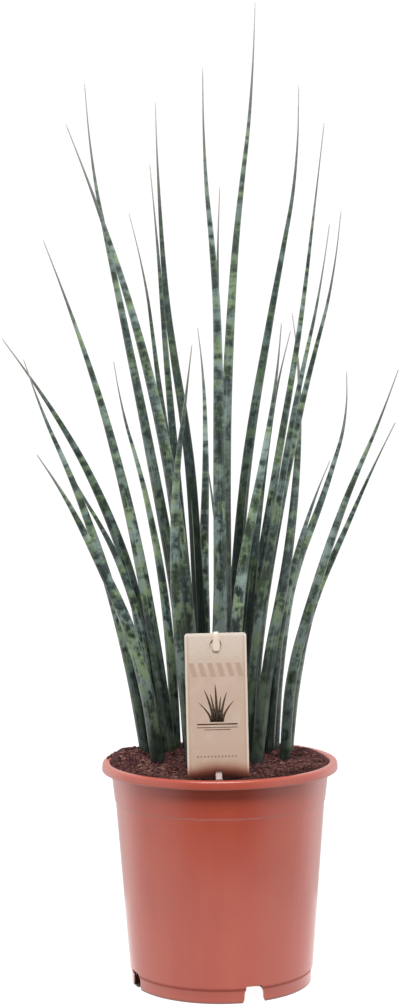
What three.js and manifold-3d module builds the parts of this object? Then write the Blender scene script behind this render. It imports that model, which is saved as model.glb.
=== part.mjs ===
// A cylindrical snake plant in its nursery pot: twenty-eight slim blades, the soil they stand in, the pot,
// and a card label hooked on a stake. Millimetres, +Z up. The origin lies on the pot's axis, level with the
// surface the pot stands on, and the label is at the front, which faces -Y.

import * as THREE from "three";
import { mergeVertices } from "three/addons/utils/BufferGeometryUtils.js";
import Module from "manifold-3d";

const wasm = await Module();
wasm.setup();

// ---------------------------------------------------------------- driving dimensions

const GAP = 0.3; // air between pieces that touch

const POT_SIDES = 48;
const POT_HEIGHT = 160;
const LIP_RADIUS = 85;
const LIP_DEPTH = 6.2; // the lip's outer band, measured down from its top
const LIP_ROUND = 1.7;
const WALL = 1.4;
const STEP_HEIGHT = 132; // above this the wall stands out a little, so that pots nest without jamming
const FOOT_RING_RADIUS = 65; // the stepped-in ring that the pot stands on
const FOOT_RING_HEIGHT = 9.2;
const FLOOR = FOOT_RING_HEIGHT + WALL; // the floor's upper face
const DISC_RADIUS = 20; // the flat disc in the middle of the underside
const DISC_THICKNESS = 1.6;
const NOTCHES = 4;
const FIRST_NOTCH = 20; // degrees to the right of the front
const NOTCH_BASE = 17.5;
const NOTCH_TOP = 13;
const DRAIN_WIDTH = 12.5;
const DRAIN_REACH = 15;
const DRAIN_HEIGHT = 3.4;

const SOIL_LEVEL = 157;
const SOIL_RADIUS = 77.1; // just under the surface
const SOIL_EDGE_DROP = 0.6; // from the surface down to that radius
const SOIL_FALL = 0.6; // how much higher the soil lies at the back than in the middle
const SOIL_BANK = 2.6; // how much it is banked up along the wall, except at the front
const WALL_CLEARANCE = 0.55; // from the soil's edge to the wall
const CLOD_HEIGHT = 0.9;
const SOIL_SIDES = 40;
const SOIL_RINGS = [71.5, 65, 58, 50.5, 42.5, 34, 25.5, 17, 8.5];
const SOIL_SEED = 29;

const BURIED = 20; // length of blade below the soil
const CLEAR_OF_SOIL = 8; // above the soil's level no clod reaches a blade
const BLADE_SIDES = 10;
const BLADE_STATIONS = 13;
const HAIR_TIP = 0.4; // radius at the very tip
const TAPER_REACH = 0.88; // share of the blade, from its tip down, over which it thickens
const CHANNEL_DEPTH = 0.42; // share of the radius that the channel takes at the foot
const CHANNEL_REACH = 0.6; // share of the blade over which the channel runs out
const LEAN_POWER = 1.5; // a blade leaves the soil upright and leans more and more

const CARD_WIDTH = 42.5;
const CARD_HEIGHT = 100;
const CARD_THICKNESS = 0.8;
const CARD_CORNER = 2.2;
const CARD_FOOT = [-1.5, -70, 160.2]; // middle of the card's bottom edge
const CARD_TURN = -0.8; // degrees; the label leans a little to the left
const SLOT_WIDTH = 8;
const SLOT_HEIGHT = 9;
const SLOT_ROUND = 3.9;
const SLOT_TOP = 4.2; // below the card's top edge
const CUTOUT_WIDTH = 5.4; // in the card's bottom edge, where the stake shows
const CUTOUT_HEIGHT = 4.8;
const CUTOUT_ROUND = 1.4;
const STAKE_WIDTH = 4.4;
const STAKE_THICKNESS = 1.4;
const STAKE_FOOT = -47.5; // the stake's point, measured from the card's bottom edge
const STAKE_POINT = 9;
const HOOK_LENGTH = 12.6;
const HOOK_THICKNESS = 1.2;
const CROWN_THICKNESS = 0.9; // over the card's top edge
const HOOK_ROUND = 0.9; // the hook's shoulders
const NIB_HEIGHT = 1.2; // the nib holds the card by its slot

// Where each blade stands, how far it has swayed sideways at these shares of its height, where its tip is,
// and how thick it is at the soil. Left to right by their tips.
const SWAY_SHARES = [0.22, 0.45, 0.68, 0.87];
const BLADES = [
  { foot: [-45, 49], sway: [-53, -67, -95, -129], tip: [-157, 44, 466], thick: 10.2 },
  { foot: [-53, 30], sway: [-64, -80.5, -103, -126], tip: [-139, 16, 450], thick: 9.2 },
  { foot: [-44, 6], sway: [-51, -65, -87, -108], tip: [-126, -40, 383], thick: 11.4 },
  { foot: [-36, 36], sway: [-47, -62, -83, -106], tip: [-124, 21, 536], thick: 9.7 },
  { foot: [-46, 38], sway: [-51, -58.5, -76.5, -99.5], tip: [-115, 42, 380], thick: 8.2 },
  { foot: [-14, -2], sway: [-21, -33, -56, -83], tip: [-105, -4, 616], thick: 11 },
  { foot: [-22, 47], sway: [-30, -49, -71, -89], tip: [-95, 63, 654], thick: 9.2 },
  { foot: [-32, 52], sway: [-35, -42, -55, -70], tip: [-77, 91, 449], thick: 7.6 },
  { foot: [-12, 59], sway: [-19, -30, -43, -53], tip: [-65, 120, 563], thick: 7.4 },
  { foot: [-17, 32], sway: [-21, -29, -37, -43], tip: [-48, 91, 597], thick: 8.2 },
  { foot: [-11, 21], sway: [-14, -20, -35, -41], tip: [-43, 73, 641], thick: 9.2 },
  { foot: [-19, -17], sway: [-25, -30, -29, -22], tip: [-17, -62, 458], thick: 9.8 },
  { foot: [-10, 49], sway: [-10, -10, -8, -9], tip: [-13, 89, 474], thick: 9.4 },
  { foot: [3, 49], sway: [3, 3, 1, -4], tip: [-8, 93, 380], thick: 6.6 },
  { foot: [-1, -31], sway: [1, 1, 0, -7], tip: [-8, -65, 645], thick: 10 },
  { foot: [-4.5, 35], sway: [-0.5, 2, 2, 2], tip: [4, 33, 574], thick: 8 },
  { foot: [4, 3], sway: [5, 7, 15, 27], tip: [31, 38, 707], thick: 9.4 },
  { foot: [7, -16], sway: [10, 17, 31, 41], tip: [45, -49, 473], thick: 9.8 },
  { foot: [15, 6], sway: [18, 25, 34, 44], tip: [54, 14, 469], thick: 8.2 },
  { foot: [26, -13], sway: [35.2, 50, 59, 61], tip: [57, 54, 483], thick: 9 },
  { foot: [7, 30], sway: [12, 23, 43, 60], tip: [63, 54, 650], thick: 9.1 },
  { foot: [17, 27], sway: [25, 42, 60, 71], tip: [78, -5, 615], thick: 7.2 },
  { foot: [20, -4], sway: [26, 41, 57, 73], tip: [81, -11, 543], thick: 7.6 },
  { foot: [36, 31], sway: [40, 47, 59, 73], tip: [85, 67, 373], thick: 8.4 },
  { foot: [23, 12], sway: [29, 44, 64, 83], tip: [90, 1, 553], thick: 7.8 },
  { foot: [40, 42.5], sway: [44.5, 56, 80.5, 97], tip: [99, 81, 440], thick: 8.8 },
  { foot: [50, 27], sway: [56, 68, 91, 111], tip: [126, -22, 403], thick: 7.4 },
  { foot: [46.7, 6], sway: [52.3, 69.3, 91, 113], tip: [126, -46, 440], thick: 8.6 },
];

// ---------------------------------------------------------------- solids

// Welds a closed geometry and leaves out the triangles that a pole has shrunk to nothing.
function toSolid(geometry) {
  const bare = geometry.clone();
  bare.deleteAttribute("normal");
  bare.deleteAttribute("uv");
  const welded = mergeVertices(bare, 1e-4);
  const corners = welded.index.array;
  const kept = [];
  for (let i = 0; i < corners.length; i += 3) {
    const [a, b, c] = corners.slice(i, i + 3);
    if (a !== b && b !== c && c !== a) {
      kept.push(a, b, c);
    }
  }
  const vertProperties = new Float32Array(welded.attributes.position.array);
  return new wasm.Manifold(new wasm.Mesh({ numProp: 3, vertProperties, triVerts: new Uint32Array(kept) }));
}

function toGeometry(manifold) {
  const { vertProperties, triVerts } = manifold.getMesh();
  const indexed = new THREE.BufferGeometry();
  indexed.setAttribute("position", new THREE.BufferAttribute(new Float32Array(vertProperties), 3));
  indexed.setIndex(new THREE.BufferAttribute(new Uint32Array(triVerts), 1));
  const flat = indexed.toNonIndexed();
  flat.computeVertexNormals();
  return flat;
}

function cutFrom(body, cutters) {
  return cutters.reduce((left, cutter) => left.subtract(cutter), body);
}

// A closed outline of [radius, height] points turned about the Z axis.
function turned(points, sides) {
  const outline = points.map(([radius, height]) => new THREE.Vector2(radius, height));
  return new THREE.LatheGeometry(outline, sides).rotateX(Math.PI / 2);
}

// Points along a quarter of a circle, from one angle to another, about [radius, height].
function rounded([radius, height], size, from, to, steps) {
  const arc = new THREE.EllipseCurve(radius, height, size, size, from, to, from > to);
  return arc.getPoints(steps).map((point) => [point.x, point.y]);
}

// Moves a geometry out from the axis to the front, and then round the axis by an angle in degrees.
function place(geometry, { angle, y, z = 0 }) {
  return geometry.translate(0, y, z).rotateZ(THREE.MathUtils.degToRad(angle));
}

// ---------------------------------------------------------------- pot

// The inner face from the axis out over the floor and up to the lip, as [radius, height].
const INNER_FLOOR = [
  [0, DISC_THICKNESS],
  [DISC_RADIUS + 1.2, DISC_THICKNESS],
  [DISC_RADIUS + 4, FLOOR],
  [63.4, FLOOR],
];
const INNER_WALL = [
  [64.8, FLOOR + 2],
  [73.9, STEP_HEIGHT - 0.6],
  [74.5, STEP_HEIGHT + 0.6],
  [76.9, POT_HEIGHT - 7],
];
const INNER_FACE = [...INNER_FLOOR, ...INNER_WALL, [78.6, POT_HEIGHT - 2]];

function potBody() {
  const bandFoot = POT_HEIGHT - LIP_DEPTH;
  const underLip = POT_HEIGHT - WALL - 0.2;
  const outerWall = INNER_WALL.map(([radius, height]) => [radius + WALL, height - 0.4]);
  return turned(
    [
      [0, 0],
      [DISC_RADIUS, 0],
      [DISC_RADIUS + 2.6, FOOT_RING_HEIGHT],
      [FOOT_RING_RADIUS - WALL - 0.2, FOOT_RING_HEIGHT],
      [FOOT_RING_RADIUS - WALL, 0],
      [FOOT_RING_RADIUS - 0.2, 0],
      [FOOT_RING_RADIUS, FOOT_RING_HEIGHT],
      [66, FOOT_RING_HEIGHT + 1],
      ...outerWall,
      [80, underLip],
      [LIP_RADIUS - WALL - 0.2, underLip],
      [LIP_RADIUS - WALL, bandFoot + 0.2],
      [LIP_RADIUS - 0.6, bandFoot],
      [LIP_RADIUS, bandFoot + 0.7],
      ...rounded([LIP_RADIUS - LIP_ROUND, POT_HEIGHT - LIP_ROUND], LIP_ROUND, 0, Math.PI / 2, 3),
      ...rounded([80.4, POT_HEIGHT - 1.2], 1.2, Math.PI / 2, Math.PI * 0.85, 2),
      ...INNER_FACE.toReversed(),
    ],
    POT_SIDES,
  );
}

function notchCutter(angle) {
  const outline = new THREE.Shape();
  outline.moveTo(-NOTCH_BASE / 2, -1);
  outline.lineTo(NOTCH_BASE / 2, -1);
  outline.quadraticCurveTo(NOTCH_TOP / 2 + 0.8, 1, NOTCH_TOP / 2 + 0.4, FOOT_RING_HEIGHT - 1.6);
  outline.lineTo(NOTCH_TOP / 2 - 0.8, FOOT_RING_HEIGHT - 0.2);
  outline.lineTo(-NOTCH_TOP / 2 + 0.8, FOOT_RING_HEIGHT - 0.2);
  outline.lineTo(-NOTCH_TOP / 2 - 0.4, FOOT_RING_HEIGHT - 1.6);
  outline.quadraticCurveTo(-NOTCH_TOP / 2 - 0.8, 1, -NOTCH_BASE / 2, -1);
  const cutter = new THREE.ExtrudeGeometry(outline, { depth: 12, bevelEnabled: false, curveSegments: 3 });
  return toSolid(place(cutter.rotateX(Math.PI / 2), { angle, y: -FOOT_RING_RADIUS + 7 }));
}

// A slot through the rim of the floor that opens a little way up the wall.
function drainCutter(angle) {
  const cutter = new THREE.BoxGeometry(DRAIN_WIDTH, DRAIN_REACH, DRAIN_HEIGHT);
  const middle = FOOT_RING_RADIUS + 2.2 - DRAIN_REACH / 2;
  return toSolid(place(cutter, { angle, y: -middle, z: FOOT_RING_HEIGHT - 0.6 + DRAIN_HEIGHT / 2 }));
}

function potGeometry() {
  const angles = Array.from({ length: NOTCHES }, (_, i) => FIRST_NOTCH + (360 / NOTCHES) * i);
  const cutters = angles.flatMap((angle) => [notchCutter(angle), drainCutter(angle)]);
  return toGeometry(cutFrom(toSolid(potBody()), cutters));
}

// ---------------------------------------------------------------- blades

function bladePath({ foot, sway, tip }) {
  const rise = tip[2] - SOIL_LEVEL;
  const depthAt = (share) => foot[1] + (tip[1] - foot[1]) * share ** LEAN_POWER;
  const ground = new THREE.Vector3(foot[0], foot[1], SOIL_LEVEL);
  const readings = SWAY_SHARES.map(
    (share, i) => new THREE.Vector3(sway[i], depthAt(share), SOIL_LEVEL + rise * share),
  );
  const buried = ground.clone().lerp(readings[0], -BURIED / (rise * SWAY_SHARES[0]));
  return new THREE.CatmullRomCurve3([buried, ground, ...readings, new THREE.Vector3(...tip)]);
}

// A blade keeps its thickness for most of its length and then tapers to a hair.
function bladeRadius(thick, fromTip) {
  const fullness = Math.sin((Math.min(fromTip / TAPER_REACH, 1) * Math.PI) / 2);
  return Math.max((thick / 2) * fullness, HAIR_TIP);
}

// Carries a turned profile of [radius, distance along the path] onto the path. shape(angle, share) scales the
// radius at an angle from the side that faces the pot's axis.
function swept(path, profile, facing, shape = () => 1) {
  const length = path.getLength();
  const outline = profile.map(([radius, along]) => new THREE.Vector2(radius, along));
  const geometry = new THREE.LatheGeometry(outline, BLADE_SIDES);
  const position = geometry.attributes.position;
  const up = new THREE.Vector3(0, 0, 1);
  for (let i = 0; i < position.count; i++) {
    const along = position.getY(i);
    const share = THREE.MathUtils.clamp(along / length, 0, 1);
    const tangent = path.getTangentAt(share);
    const centre = path.getPointAt(share).addScaledVector(tangent, along - share * length);
    const offset = new THREE.Vector3(position.getZ(i), position.getX(i), 0);
    offset.multiplyScalar(shape(Math.atan2(offset.y, offset.x), share));
    offset.applyAxisAngle(up, facing).applyQuaternion(new THREE.Quaternion().setFromUnitVectors(up, tangent));
    const { x, y, z } = centre.add(offset);
    position.setXYZ(i, x, y, z);
  }
  return geometry;
}

function stations(blade, path) {
  const length = path.getLength();
  return Array.from({ length: BLADE_STATIONS + 1 }, (_, i) => {
    const share = i / BLADE_STATIONS;
    return [bladeRadius(blade.thick, 1 - share), share * length];
  });
}

const facingAxis = ({ foot }) => Math.atan2(-foot[1], -foot[0]);

// The channel runs up the inner side of a blade and fades out.
function channelled(angle, share) {
  const fade = THREE.MathUtils.clamp(1 - share / CHANNEL_REACH, 0, 1);
  const half = (2 * Math.PI) / BLADE_SIDES;
  return 1 - CHANNEL_DEPTH * fade * Math.max(0, 1 - Math.abs(angle) / half);
}

function bladeGeometry(blade) {
  const path = bladePath(blade);
  const profile = [[0, 0], ...stations(blade, path), [0, path.getLength()]];
  return toGeometry(toSolid(swept(path, profile, facingAxis(blade), channelled)));
}

// The hole in the soil follows the blade until it is clear of the clods, a gap wider all round.
function bladeHole(blade) {
  const path = bladePath(blade);
  const all = stations(blade, path);
  const clear = all.findIndex(([, along]) => along > BURIED + CLEAR_OF_SOIL);
  const wider = all.slice(0, clear + 1).map(([radius, along]) => [radius + GAP, along]);
  const profile = [[0, -GAP], [wider[0][0], -GAP], ...wider, [0, wider.at(-1)[1]]];
  return toSolid(swept(path, profile, facingAxis(blade)));
}

// ---------------------------------------------------------------- label

const labelMatrix = new THREE.Matrix4()
  .makeRotationY(THREE.MathUtils.degToRad(CARD_TURN))
  .setPosition(...CARD_FOOT);

function roundedRectangle(path, left, bottom, width, height, radius) {
  const [right, top] = [left + width, bottom + height];
  path.moveTo(left + radius, bottom);
  path.absarc(right - radius, bottom + radius, radius, -Math.PI / 2, 0);
  path.absarc(right - radius, top - radius, radius, 0, Math.PI / 2);
  path.absarc(left + radius, top - radius, radius, Math.PI / 2, Math.PI);
  path.absarc(left + radius, bottom + radius, radius, Math.PI, Math.PI * 1.5);
  path.closePath();
  return path;
}

// A flat outline drawn out to a thickness, standing up and centred on the XZ plane.
function upright(outline, thickness) {
  const options = { depth: thickness, bevelEnabled: false, curveSegments: 4 };
  return new THREE.ExtrudeGeometry(outline, options).rotateX(Math.PI / 2).translate(0, thickness / 2, 0);
}

function cardGeometry() {
  const [left, slotLeft] = [-CARD_WIDTH / 2, -SLOT_WIDTH / 2];
  const slotFoot = CARD_HEIGHT - SLOT_TOP - SLOT_HEIGHT;
  const outline = roundedRectangle(new THREE.Shape(), left, 0, CARD_WIDTH, CARD_HEIGHT, CARD_CORNER);
  const slot = roundedRectangle(new THREE.Path(), slotLeft, slotFoot, SLOT_WIDTH, SLOT_HEIGHT, SLOT_ROUND);
  outline.holes.push(slot);
  const [width, height] = [CUTOUT_WIDTH, 2 * CUTOUT_HEIGHT];
  const cutout = roundedRectangle(new THREE.Shape(), -width / 2, -height / 2, width, height, CUTOUT_ROUND);
  const sheet = toSolid(upright(outline, CARD_THICKNESS));
  return toGeometry(cutFrom(sheet, [toSolid(upright(cutout, 2 * CARD_THICKNESS))]));
}

// The stake's side outline: up behind the card, over its top edge and down in front, with a nib in the slot.
function stakeGeometry() {
  const back = CARD_THICKNESS / 2 + GAP;
  const rear = back + STAKE_THICKNESS;
  const front = -back - HOOK_THICKNESS;
  const over = CARD_HEIGHT + GAP;
  const crown = over + CROWN_THICKNESS;
  const hookFoot = CARD_HEIGHT - HOOK_LENGTH;
  const outline = new THREE.Shape();
  outline.moveTo(back, STAKE_FOOT + STAKE_POINT);
  outline.lineTo(rear, STAKE_FOOT);
  outline.absarc(rear - HOOK_ROUND, crown - HOOK_ROUND, HOOK_ROUND, 0, Math.PI / 2);
  outline.absarc(front + HOOK_ROUND, crown - HOOK_ROUND, HOOK_ROUND, Math.PI / 2, Math.PI);
  outline.lineTo(front, hookFoot);
  outline.lineTo(CARD_THICKNESS / 4, hookFoot);
  outline.lineTo(CARD_THICKNESS / 4, hookFoot + NIB_HEIGHT);
  outline.lineTo(-back, hookFoot + NIB_HEIGHT + 0.8);
  outline.lineTo(-back, over);
  outline.lineTo(back, over);
  outline.closePath();
  return upright(outline, STAKE_WIDTH).rotateZ(Math.PI / 2);
}

function stakeHole() {
  const rear = CARD_THICKNESS / 2 + GAP + STAKE_THICKNESS / 2;
  const depth = -STAKE_FOOT + GAP;
  const cutter = new THREE.BoxGeometry(STAKE_WIDTH + 2 * GAP, STAKE_THICKNESS + 2 * GAP, depth);
  return toSolid(cutter.translate(0, rear, -depth / 2).applyMatrix4(labelMatrix));
}

// ---------------------------------------------------------------- soil

function seededRandom(seed) {
  let state = seed;
  return () => {
    state = (state * 1664525 + 1013904223) % 4294967296;
    return state / 4294967296;
  };
}

// The surface rises towards the back and to the rim, in a low swell with clods on it.
function soilHeight(x, y, roll) {
  const fall = (SOIL_FALL * y) / LIP_RADIUS;
  const behind = THREE.MathUtils.smoothstep(y, -SOIL_RADIUS, 0);
  const bank = SOIL_BANK * behind * (Math.hypot(x, y) / SOIL_RADIUS) ** 4;
  const swell = 0.8 * Math.sin(x * 0.07 + 0.6) * Math.cos(y * 0.09 - 0.4);
  const clods = CLOD_HEIGHT * Math.sin(x * 0.41 + y * 0.19) * Math.sin(y * 0.37 - x * 0.15);
  return SOIL_LEVEL + fall + bank + swell + clods + (roll - 0.5) * CLOD_HEIGHT;
}

// How far out the soil reaches where it lies at a height near the rim.
function soilReach(height) {
  const [[lowRadius, low], [highRadius, high]] = INNER_FACE.slice(-2);
  return lowRadius + ((highRadius - lowRadius) * (height - low)) / (high - low) - WALL_CLEARANCE;
}

function soilBody() {
  const within = ([radius, height]) => [Math.max(radius - GAP, 0), height + GAP];
  const profile = [
    ...[...INNER_FLOOR, ...INNER_WALL].map(within),
    [SOIL_RADIUS, SOIL_LEVEL - SOIL_EDGE_DROP],
    [soilReach(SOIL_LEVEL), SOIL_LEVEL],
    ...SOIL_RINGS.map((radius) => [radius, SOIL_LEVEL]),
    [0, SOIL_LEVEL],
  ];
  const geometry = turned(profile, SOIL_SIDES);
  const position = geometry.attributes.position;
  const random = seededRandom(SOIL_SEED);
  const rolls = new Map();
  for (let i = 0; i < position.count; i++) {
    const [x, y, z] = [position.getX(i), position.getY(i), position.getZ(i)];
    if (z > SOIL_LEVEL - 0.1) {
      const key = `${x.toFixed(2)},${y.toFixed(2)}`.replaceAll("-0.00", "0.00");
      if (!rolls.has(key)) {
        rolls.set(key, random());
      }
      const height = soilHeight(x, y, rolls.get(key));
      const outwards = Math.hypot(x, y) > SOIL_RADIUS ? soilReach(height) / Math.hypot(x, y) : 1;
      position.setXYZ(i, x * outwards, y * outwards, height);
    }
  }
  return geometry;
}

function soilGeometry() {
  return toGeometry(cutFrom(toSolid(soilBody()), [...BLADES.map(bladeHole), stakeHole()]));
}

// ---------------------------------------------------------------- assembly

const finishes = {
  pot: { color: 0xb35f4f, roughness: 0.42, metalness: 0 },
  soil: { color: 0x4a2f2c, roughness: 0.95, metalness: 0 },
  leaf: { color: 0x3d5146, roughness: 0.55, metalness: 0 },
  card: { color: 0xc9ae9a, roughness: 0.85, metalness: 0 },
  stake: { color: 0xe9dccb, roughness: 0.45, metalness: 0 },
};

function piece(name, geometry, finish) {
  const mesh = new THREE.Mesh(geometry, new THREE.MeshStandardMaterial(finishes[finish]));
  mesh.name = name;
  return mesh;
}

const plant = new THREE.Group();
BLADES.forEach((blade, i) => {
  plant.add(piece(`leaf_${String(i + 1).padStart(2, "0")}`, bladeGeometry(blade), "leaf"));
});

const label = new THREE.Group();
label.applyMatrix4(labelMatrix);
label.add(piece("label_card", cardGeometry(), "card"));
label.add(piece("label_stake", stakeGeometry(), "stake"));

const pottedPlant = new THREE.Group();
pottedPlant.add(piece("pot", potGeometry(), "pot"));
pottedPlant.add(piece("soil", soilGeometry(), "soil"));
pottedPlant.add(plant, label);

export default pottedPlant;
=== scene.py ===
"""A cylindrical snake plant in its nursery pot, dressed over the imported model."""

import math
import random
from collections import Counter

import bmesh
import bpy
from mathutils import Matrix, Quaternion, Vector, noise
from mathutils.bvhtree import BVHTree


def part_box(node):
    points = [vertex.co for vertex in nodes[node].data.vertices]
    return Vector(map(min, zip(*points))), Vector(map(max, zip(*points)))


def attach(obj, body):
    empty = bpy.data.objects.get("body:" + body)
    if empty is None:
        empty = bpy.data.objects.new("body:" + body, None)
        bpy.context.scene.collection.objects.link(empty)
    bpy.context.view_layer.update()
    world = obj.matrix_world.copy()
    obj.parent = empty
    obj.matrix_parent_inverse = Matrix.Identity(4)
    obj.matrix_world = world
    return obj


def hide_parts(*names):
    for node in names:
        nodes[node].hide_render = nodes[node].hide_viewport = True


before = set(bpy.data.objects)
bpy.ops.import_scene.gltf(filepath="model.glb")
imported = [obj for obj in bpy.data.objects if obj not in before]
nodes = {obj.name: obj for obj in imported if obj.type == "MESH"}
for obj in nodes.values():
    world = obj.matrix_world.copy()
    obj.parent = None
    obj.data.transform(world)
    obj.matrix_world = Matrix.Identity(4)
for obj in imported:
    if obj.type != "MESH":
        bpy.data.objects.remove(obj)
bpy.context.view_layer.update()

MM = 0.001

# ---------------------------------------------------------------- sizes from the frame

POT_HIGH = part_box("pot")[1]
RIM_RADIUS = POT_HIGH.x
RIM_HEIGHT = POT_HIGH.z
SOIL_LEVEL = RIM_HEIGHT - 3 * MM
LEAVES = sorted(name for name in nodes if name.startswith("leaf_"))

# ---------------------------------------------------------------- sizes of the pot

WALL = 1.4 * MM
LIP_DEPTH = 6.2 * MM
LIP_FOOT_ROUND = 0.9 * MM
LIP_ROUND = 1.7 * MM
# The lip's face swells out towards its foot: the curve's radius, and its lean at the top edge.
LIP_SWELL = 19.8 * MM
LIP_TILT = 0.2
STEP_HEIGHT = 132 * MM
# Where the inner face bends outwards under the rim, and where that stretch ends, as (radius, height).
WALL_BEND = (76.9 * MM, RIM_HEIGHT - 7 * MM)
WALL_TOP = (78.6 * MM, RIM_HEIGHT - 2 * MM)
FOOT_RING_RADIUS = 65 * MM
FOOT_RING_HEIGHT = 9.2 * MM
FLOOR_HEIGHT = FOOT_RING_HEIGHT + WALL
DISC_RADIUS = 20 * MM
DISC_THICKNESS = 1.6 * MM
NOTCH_ANGLES = [math.radians(20 + 90 * i) for i in range(4)]
NOTCH_BASE = 17.5 * MM
NOTCH_TOP = 13 * MM
NOTCH_REACH = 12 * MM
DRAIN_WIDTH, DRAIN_REACH, DRAIN_HEIGHT = 12.5 * MM, 15 * MM, 3.4 * MM

# ---------------------------------------------------------------- camera

# The lens's focal length, in pixels of an image of this height.
FOCAL_PIXELS, IMAGE_HEIGHT = 2093, 1006
SENSOR = 24
CAMERA_PLACE = Vector((-12.5, -1500, 427)) * MM
# How far the camera looks down and how far it is rolled, in radians.
CAMERA_DOWN = 0.0540
CAMERA_ROLL = -0.0095


def place_camera():
    """A long lens at the height of the leaves, looking slightly down."""
    lens = bpy.data.cameras.new("camera")
    lens.sensor_width = SENSOR
    lens.lens = FOCAL_PIXELS / IMAGE_HEIGHT * SENSOR
    lens.clip_start, lens.clip_end = 0.05, 50
    camera = bpy.data.objects.new("camera", lens)
    turn = Matrix.Rotation(math.pi / 2 - CAMERA_DOWN, 4, "X") @ Matrix.Rotation(CAMERA_ROLL, 4, "Z")
    camera.matrix_world = Matrix.Translation(CAMERA_PLACE) @ turn
    bpy.context.collection.objects.link(camera)
    bpy.context.scene.camera = camera


# ---------------------------------------------------------------- shader maths


def colour(code):
    """The scene colour of a six-digit screen colour."""
    channels = [int(code[i : i + 2], 16) / 255 for i in (0, 2, 4)]
    return (*(c / 12.92 if c <= 0.04045 else ((c + 0.055) / 1.055) ** 2.4 for c in channels), 1)


class Value:
    """An output socket. Arithmetic on it adds Math nodes."""

    def __init__(self, shader, socket):
        self.shader, self.socket = shader, socket

    def math(self, operation, *values):
        return self.shader.add("Math", {"operation": operation}, dict(enumerate(values)))

    def __add__(self, other):
        return self.math("ADD", self, other)

    def __sub__(self, other):
        return self.math("SUBTRACT", self, other)

    def __rsub__(self, other):
        return self.math("SUBTRACT", other, self)

    def __mul__(self, other):
        return self.math("MULTIPLY", self, other)

    def __truediv__(self, other):
        return self.math("DIVIDE", self, other)

    __radd__, __rmul__ = __add__, __mul__

    def __abs__(self):
        return self.math("ABSOLUTE", self)

    def step(self, low, high):
        """Rises smoothly from 0 at low to 1 at high."""
        sockets = {"Value": self, "From Min": low, "From Max": high}
        return self.shader.add("MapRange", {"interpolation_type": "SMOOTHSTEP"}, sockets)

    def fall(self, low, high):
        """Falls smoothly from 1 at low to 0 at high."""
        return 1 - self.step(low, high)

    def hump(self, middle, start, top, end, foot):
        """Rises from 0 to 1 and falls back again, at distances in millimetres from the middle."""
        rise = self.step(middle + start * MM, middle + top * MM)
        return rise * self.fall(middle + end * MM, middle + foot * MM)

    def scaled(self, x, y, z):
        """A vector times a factor for each axis."""
        return self.shader.add("VectorMath", {"operation": "MULTIPLY"}, {0: self, 1: (x, y, z)})


class Shader:
    """A material or a world whose nodes are added by code."""

    def __init__(self, name, kind="materials"):
        self.block = getattr(bpy.data, kind).new(name)
        self.block.use_nodes = True
        self.tree = self.block.node_tree
        self.tree.nodes.clear()

    def add(self, kind, settings=None, sockets=None, out=0):
        node = self.tree.nodes.new("ShaderNode" + kind)
        for key, value in (settings or {}).items():
            if key == "stops":
                self.set_stops(node.color_ramp, value)
            else:
                setattr(node, key, value)
        for key, value in (sockets or {}).items():
            if isinstance(value, Value):
                self.tree.links.new(value.socket, node.inputs[key])
            else:
                node.inputs[key].default_value = value
        return Value(self, node.outputs[out]) if node.outputs else None

    @staticmethod
    def set_stops(ramp, stops):
        while len(ramp.elements) < len(stops):
            ramp.elements.new(0.5)
        for element, (position, code) in zip(ramp.elements, stops):
            element.position, element.color = position, colour(code)

    def attribute(self, name, out="Fac"):
        return self.add("Attribute", {"attribute_name": name}, out=out)

    def noise(self, vector, scale, detail=3, roughness=0.5):
        return self.add(
            "TexNoise", {}, {"Vector": vector, "Scale": scale, "Detail": detail, "Roughness": roughness}
        )

    def place(self):
        return self.add("TexCoord", out="Object")

    def axis(self, vector, name):
        return self.add("SeparateXYZ", {}, {0: vector}, out=name)

    def reach(self, place):
        """How far a place is from the pot's axis."""
        x, y = (self.axis(place, name) for name in "XY")
        return self.add("Math", {"operation": "SQRT"}, {0: x * x + y * y})

    def ramp(self, factor, stops):
        return self.add("ValToRGB", {"stops": stops}, {"Fac": factor})

    def mix(self, factor, first, second, blend="MIX"):
        settings = {"data_type": "RGBA", "blend_type": blend}
        return self.add("Mix", settings, {0: factor, 6: first, 7: second}, out=2)

    def layered(self, base, *layers):
        """Colours laid over a base one after another, each as far as its mask lets it."""
        for mask, code in layers:
            base = self.mix(mask, base, colour(code))
        return base

    def bump(self, height, distance, strength=1.0):
        return self.add("Bump", {}, {"Height": height, "Distance": distance, "Strength": strength})

    def finish(self, **sockets):
        """Ends the material in a Principled shader. Socket names are written with underscores."""
        named = {key.replace("_", " "): value for key, value in sockets.items()}
        surface = self.add("BsdfPrincipled", {}, named)
        self.add("OutputMaterial", {}, {"Surface": surface})
        return self.block


# ---------------------------------------------------------------- leaf skin

# Noise on a straightened leaf: how fine it is across and along, its detail and its roughness.
LEAF_NOISE = {
    "streaks": (1000, 55, 2, 0.5),
    "mottle": (260, 210, 3, 0.55),
    "bands": (30, 92, 2, 0.5),
    "clumps": (125, 64, 2, 0.5),
    "cloud": (26, 17, 1, 0.5),
    "hue": (70, 48, 2, 0.5),
    "ripple": (120, 620, 2, 0.5),
    "fine": (2600, 90, 2, 0.5),
}
BLUISH = (0.88, 1.0, 1.13, 1)
YELLOWISH = (0.9, 1.04, 0.72, 1)
# The share of a leaf over which clumps give way to clear cross bands.
BAND_SHARES = (0.3, 0.75)
# The cosine of the angle from the channel's middle to its margin, where a painted sheen lies, and how far
# that sheen spreads.
SHEEN_TURN, SHEEN_SPREAD = 0.72, 0.07


def leaf_noises(s):
    """The leaf's noises by name, on the leaf as if it were straight."""
    straight = s.attribute("straight", "Vector")
    made = {}
    for name, (across, along, detail, roughness) in LEAF_NOISE.items():
        made[name] = s.noise(straight.scaled(across, across, along), 1, detail, roughness)
    return made


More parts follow.
